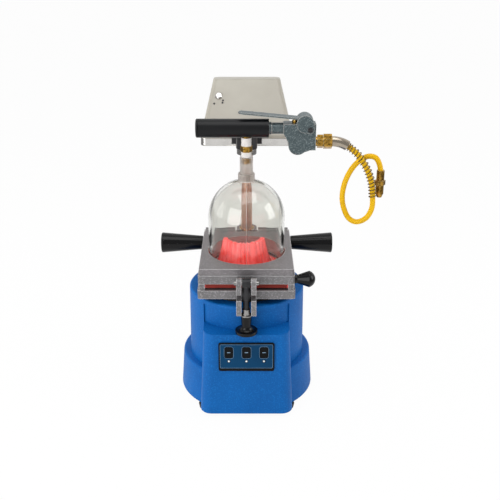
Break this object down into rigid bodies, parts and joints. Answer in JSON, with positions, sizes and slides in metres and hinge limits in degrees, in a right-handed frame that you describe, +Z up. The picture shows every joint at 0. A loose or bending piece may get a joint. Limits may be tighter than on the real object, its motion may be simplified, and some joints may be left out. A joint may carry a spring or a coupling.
{
  "type": "pressure forming pot on a bench-top thermoforming machine",
  "caption": "Clear domed pressure pot with a valve handle and air hose, seated in the clamp frame of a bench-top thermoforming machine with a swing-out heater hood.",
  "frame": {"origin": "on the floor under the axis of the round base", "axes": "+Z up along the axis of the base, +Y to the rear, towards the post, +X to the right of a person who faces the control panel"},
  "size_m": [0.341, 0.3845, 0.452],
  "materials": {
    "blue_housing": "moulded, light texture",
    "black_plastic": "moulded",
    "black_rubber": "moulded",
    "cast_frame": "cast and bead blasted",
    "steel": "turned",
    "dark_steel": "blackened",
    "post_steel": "copper-toned plating",
    "bronze": "turned",
    "red_sheet": "thermoformed, smooth",
    "seal": "moulded",
    "clear_bell": "clear moulded plastic",
    "white_tape": "wrapped film",
    "brass": "machined",
    "zinc": "die cast",
    "hose_yellow": "smooth extruded",
    "hood_paint": "satin",
    "element": "oxidised sheath",
    "bright_steel": "polished",
    "insulator": "fired, unglazed",
    "board": "solder resist",
    "lamp": "moulded lens"
  },
  "bodies": {
    "base": {"base_housing": "blue_housing", "bottom_plate": "dark_steel", "bottom_screws": "steel", "base_feet": "black_rubber", "motor_mount": "black_rubber", "vacuum_motor": "steel", "motor_seal": "seal", "vacuum_plate": "steel", "platform_seal": "seal", "cord_gland": "black_plastic", "control_panel": "black_plastic", "indicator_lamps": "lamp", "control_board": "board", "slide_post": "post_steel", "post_cap": "black_plastic", "swivel_stop": "steel"},
    "button_left": {"button_left": "black_plastic"},
    "button_centre": {"button_centre": "black_plastic"},
    "button_right": {"button_right": "black_plastic"},
    "carriage": {"lower_frame": "cast_frame", "upper_frame": "cast_frame", "locating_plate": "cast_frame", "plate_screws": "dark_steel", "frame_hinge_pins": "steel", "slide_bushing": "bronze", "lower_gasket": "seal", "upper_gasket": "seal", "forming_sheet": "red_sheet", "grip_left": "black_plastic", "grip_right": "black_plastic", "grip_studs": "steel", "lift_knob": "black_plastic", "lift_knob_stud": "steel", "latch_pin": "steel"},
    "latch": {"swing_bolt": "dark_steel"},
    "clamp": {"clamp_knob": "black_plastic", "clamp_collar": "steel"},
    "bell": {"bell_dome": "clear_bell", "rim_seal": "seal", "neck_collar": "clear_bell", "neck_tube": "clear_bell", "pipe_nipple": "brass", "thread_tape": "white_tape", "grip_bar": "black_plastic", "bar_cap": "black_plastic", "valve_body": "zinc", "lever_pivot": "steel", "valve_spring": "steel", "hose_fitting": "brass", "hose_sleeve": "steel", "spring_guard": "steel", "air_hose": "hose_yellow", "hose_plug": "brass"},
    "lever": {"valve_lever": "zinc"},
    "plunger": {"valve_plunger": "brass"},
    "heater": {"heater_hood": "hood_paint", "hood_bracket": "dark_steel", "heating_element": "element", "reflector": "bright_steel", "element_insulators": "insulator"}
  },
  "joints": [
    {"name": "frame_lift", "type": "slide", "parent": "base", "child": "carriage", "axis": [0, 0, 1], "range_m": [0, 0.1]},
    {"name": "bell_lift", "type": "slide", "parent": "carriage", "child": "bell", "axis": [0, 0, 1], "range_m": [0, 0.12]},
    {"name": "lever_press", "type": "hinge", "parent": "bell", "child": "lever", "pos_m": [0.09, 0, 0.4162], "axis": [0, -1, 0], "range_deg": [0, 3.4], "stiffness_Nm_per_rad": 0.8, "springref_deg": -11.46},
    {"name": "plunger_press", "type": "slide", "parent": "bell", "child": "plunger", "axis": [0, 0, -1], "range_m": [0, 0.0014], "deforming": ["valve_spring"]},
    {"name": "latch_swing", "type": "hinge", "parent": "carriage", "child": "latch", "pos_m": [0, -0.1035, 0.221], "axis": [-1, 0, 0], "range_deg": [0, 100]},
    {"name": "clamp_turn", "type": "hinge", "parent": "latch", "child": "clamp", "pos_m": [0, -0.1035, 0.15], "axis": [0, 0, 1], "continuous": true},
    {"name": "heater_swivel", "type": "hinge", "parent": "base", "child": "heater", "pos_m": [0, 0.097, 0.375], "axis": [0, 0, 1], "range_deg": [-70, 70]},
    {"name": "button_left_press", "type": "slide", "parent": "base", "child": "button_left", "axis": [0, 0.9991, -0.043], "range_m": [0, 0.0012], "stiffness_N_per_m": 300, "springref_m": -0.002},
    {"name": "button_centre_press", "type": "slide", "parent": "base", "child": "button_centre", "axis": [0, 0.9991, -0.043], "range_m": [0, 0.0012], "stiffness_N_per_m": 300, "springref_m": -0.002},
    {"name": "button_right_press", "type": "slide", "parent": "base", "child": "button_right", "axis": [0, 0.9991, -0.043], "range_m": [0, 0.0012], "stiffness_N_per_m": 300, "springref_m": -0.002}
  ],
  "couplings": [
    {"joint": "plunger_press", "follows": "lever_press", "m_per_rad": 0.021}
  ]
}
